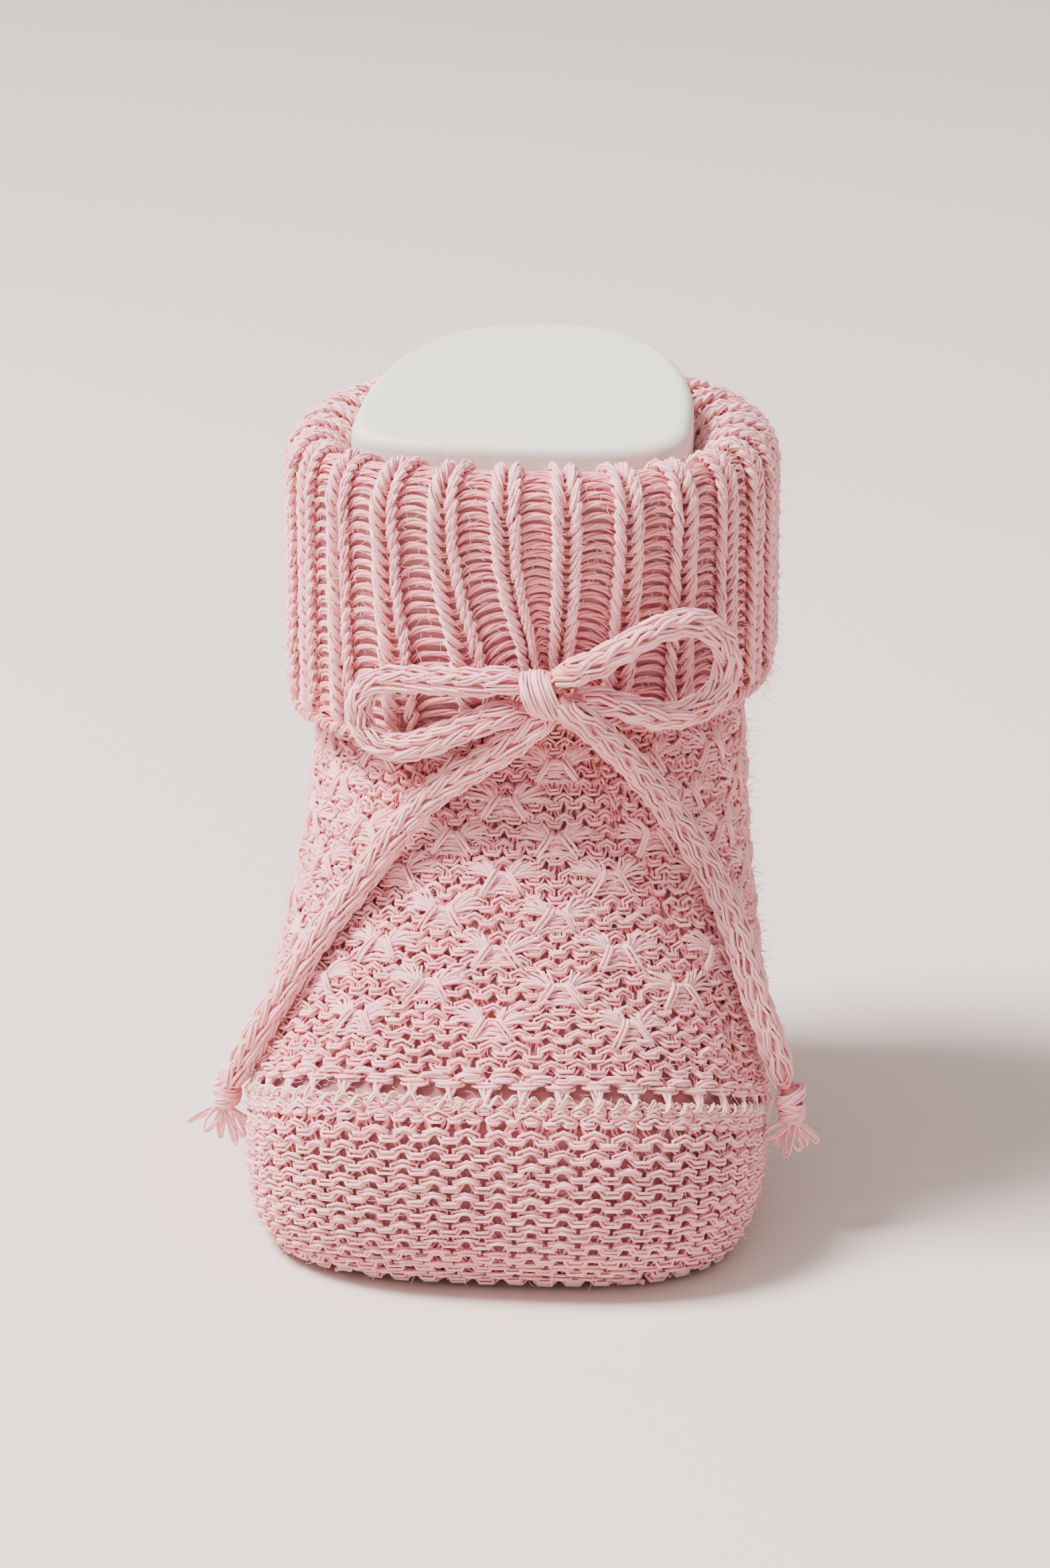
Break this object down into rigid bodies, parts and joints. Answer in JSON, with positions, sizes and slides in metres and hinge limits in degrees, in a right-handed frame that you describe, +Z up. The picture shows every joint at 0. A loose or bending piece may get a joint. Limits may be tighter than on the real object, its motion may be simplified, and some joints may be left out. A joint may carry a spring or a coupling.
{
  "type": "baby bootie",
  "caption": "Hand-knitted baby bootie with a lace-patterned instep, a turned-down ribbed cuff and a cord tied in a bow, standing on a removable display form.",
  "frame": {"origin": "on the floor, at the middle of the bootie's bounding box without its free cord", "axes": "+Z up; the toe points to -Y; left is -X as seen from in front of the toe"},
  "size_m": [0.0702, 0.0914, 0.0985],
  "materials": {
    "pink_knit": "soft matt cotton knit",
    "pink_rib": "soft matt ribbed cotton knit",
    "pink_cord": "soft matt knitted cotton cord",
    "cream_thread": "thin matt thread",
    "white_form": "smooth matt white"
  },
  "bodies": {
    "bootie": {"sole": "pink_knit", "side_band": "pink_knit", "eyelet_row": "pink_knit", "join_thread": "cream_thread", "instep_panel": "pink_knit", "side_wall_left": "pink_knit", "side_wall_right": "pink_knit", "back_seam": "pink_knit", "ankle_stand": "pink_rib", "cuff": "pink_rib", "cuff_edge": "pink_rib", "drawstring": "pink_cord", "bow_knot": "pink_cord", "bow_loop_left": "pink_cord", "bow_loop_right": "pink_cord", "tie_tail_left": "pink_cord", "tie_tail_right": "pink_cord", "end_knot_left": "pink_cord", "end_knot_right": "pink_cord", "tassel_left": "pink_cord", "tassel_right": "pink_cord"},
    "form": {"ankle_form": "white_form"}
  },
  "joints": [
    {"name": "form_lift", "type": "slide", "parent": "bootie", "child": "form", "axis": [0, 0, 1], "range_m": [0, 0.05]}
  ]
}
